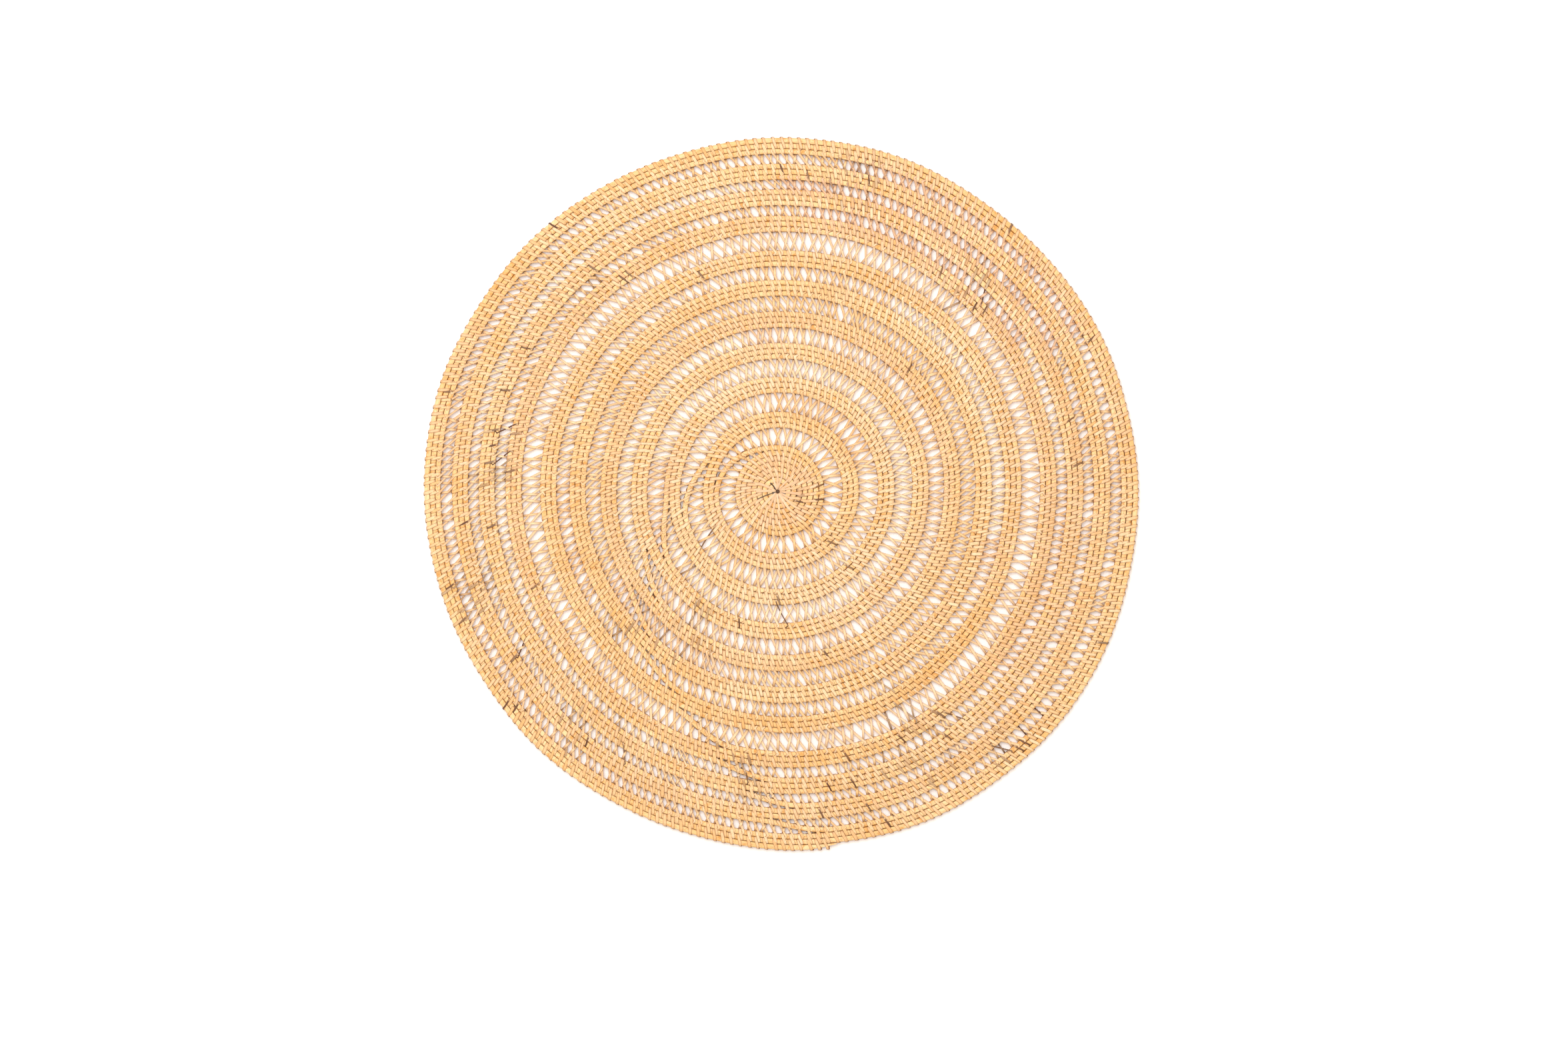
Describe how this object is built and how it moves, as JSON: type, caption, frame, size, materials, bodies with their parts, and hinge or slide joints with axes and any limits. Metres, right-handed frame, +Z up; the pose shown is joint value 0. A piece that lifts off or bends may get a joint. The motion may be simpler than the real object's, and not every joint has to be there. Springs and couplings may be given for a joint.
{
  "type": "coiled rattan seat pad",
  "caption": "Flat round coiled rattan mat for a chair seat or table: bound bands of core rod with open lanes of figure-eight cane lacing between them.",
  "frame": {"origin": "under the middle of the round outline, on the surface the mat lies on", "axes": "+Z up out of the mat's face. Seen from above, with +X to the right and +Y up the page, the coil winds outwards anticlockwise and the rod's outer end is near -Y"},
  "size_m": [0.3796, 0.3788, 0.0038],
  "materials": {
    "rattan_rod": "smooth bare rattan core",
    "lacing_cane": "satin split cane",
    "starburst_cane": "satin split cane, pinkish",
    "knot_cane": "dark fibrous knot"
  },
  "bodies": {
    "root": {"centre_knot": "knot_cane", "starburst_strips": "starburst_cane", "centre_coil": "rattan_rod", "centre_lacing": "lacing_cane", "band_01_rod": "rattan_rod", "band_01_lacing": "lacing_cane", "lane_01_lacing": "lacing_cane", "band_02_rod": "rattan_rod", "band_02_lacing": "lacing_cane", "lane_02_lacing": "lacing_cane", "band_03_rod": "rattan_rod", "band_03_lacing": "lacing_cane", "lane_03_lacing": "lacing_cane", "band_04_rod": "rattan_rod", "band_04_lacing": "lacing_cane", "lane_04_lacing": "lacing_cane", "band_05_rod": "rattan_rod", "band_05_lacing": "lacing_cane", "lane_05_lacing": "lacing_cane", "band_06_rod": "rattan_rod", "band_06_lacing": "lacing_cane", "lane_06_lacing": "lacing_cane", "band_07_rod": "rattan_rod", "band_07_lacing": "lacing_cane", "lane_07_lacing": "lacing_cane", "band_08_rod": "rattan_rod", "band_08_lacing": "lacing_cane", "lane_08_lacing": "lacing_cane", "band_09_rod": "rattan_rod", "band_09_lacing": "lacing_cane", "lane_09_lacing": "lacing_cane", "band_10_rod": "rattan_rod", "band_10_lacing": "lacing_cane", "lane_10_lacing": "lacing_cane"}
  },
  "joints": []
}
